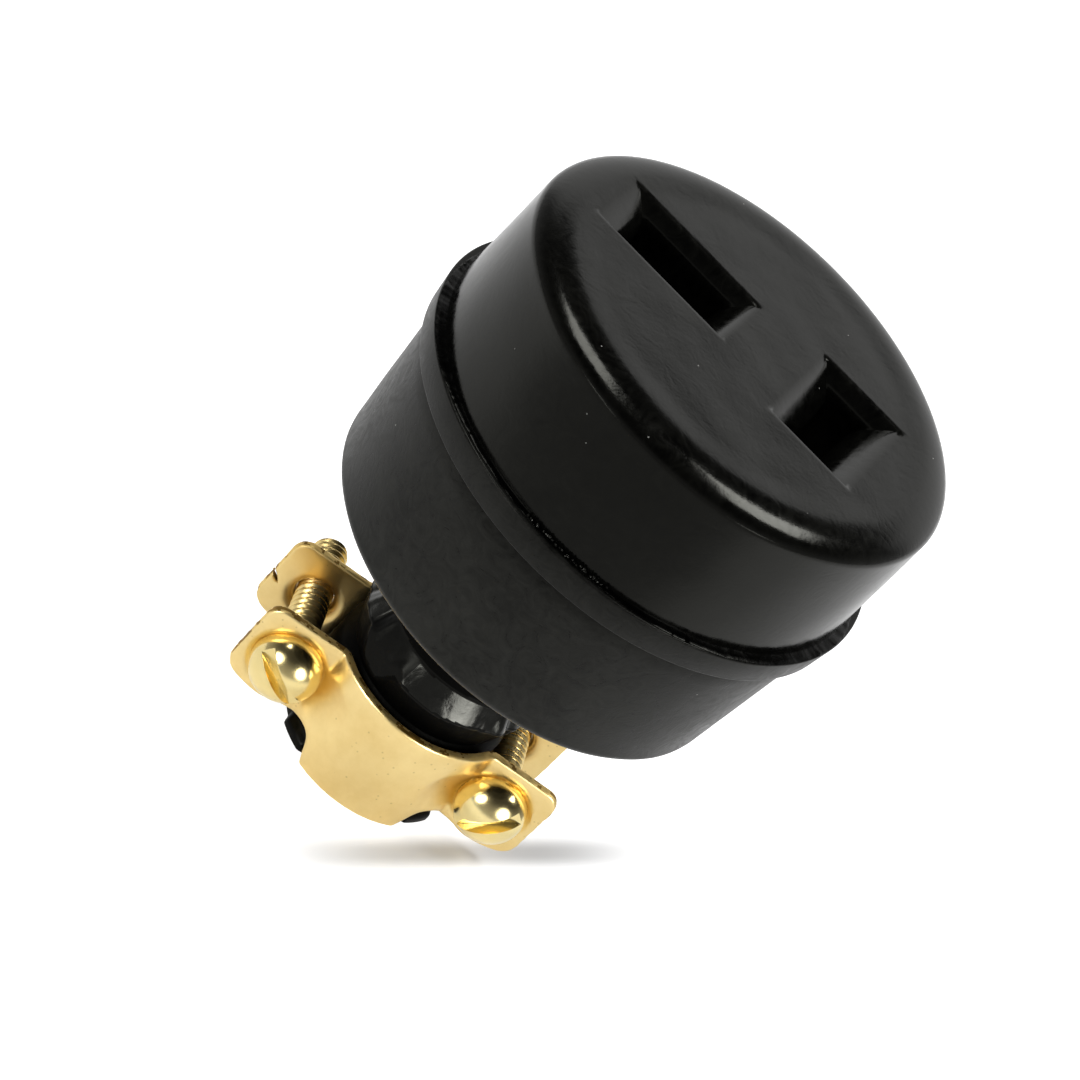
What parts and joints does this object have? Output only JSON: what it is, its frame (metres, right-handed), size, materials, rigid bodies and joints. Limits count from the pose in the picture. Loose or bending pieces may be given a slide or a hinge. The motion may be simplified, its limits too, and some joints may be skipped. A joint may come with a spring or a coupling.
{
  "type": "rubber inline socket",
  "caption": "Round black rubber inline socket with a slotted mating face, a tapered rear shell and a brass strap clamp round its cord neck.",
  "frame": {"origin": "on the axis of the body, at the open end of the cord neck, which the part stands on", "axes": "+Z along the body's axis, out of the mating face, its longest extent; +X from the straight slot to the crossed slot; the clamp straps lie 17.8 degrees from +X, turned towards +Y"},
  "size_m": [0.046, 0.046, 0.0582],
  "materials": {
    "front_rubber": "satin moulded",
    "shell_rubber": "matte moulded",
    "sleeve_rubber": "glossy",
    "carrier_phenolic": "satin",
    "cover_fibre": "matte",
    "contact_brass": "satin",
    "spring_steel": "satin",
    "screw_brass": "polished",
    "washer_steel": "plated",
    "clamp_brass": "satin"
  },
  "bodies": {
    "root": {"front_insulator": "front_rubber", "rear_shell": "shell_rubber", "cord_sleeve": "sleeve_rubber", "contact_carrier": "carrier_phenolic", "carrier_cover": "cover_fibre", "straight_contact": "contact_brass", "crossed_contact": "contact_brass", "straight_spring": "spring_steel", "crossed_spring": "spring_steel", "straight_terminal_screw": "screw_brass", "crossed_terminal_screw": "screw_brass", "straight_saddle_washer": "washer_steel", "crossed_saddle_washer": "washer_steel", "cover_screw_near": "screw_brass", "cover_screw_far": "screw_brass", "cover_insert_near": "contact_brass", "cover_insert_far": "contact_brass", "clamp_front_strap": "clamp_brass", "clamp_rear_strap": "clamp_brass", "clamp_screw_left": "screw_brass", "clamp_screw_right": "screw_brass"}
  },
  "joints": []
}
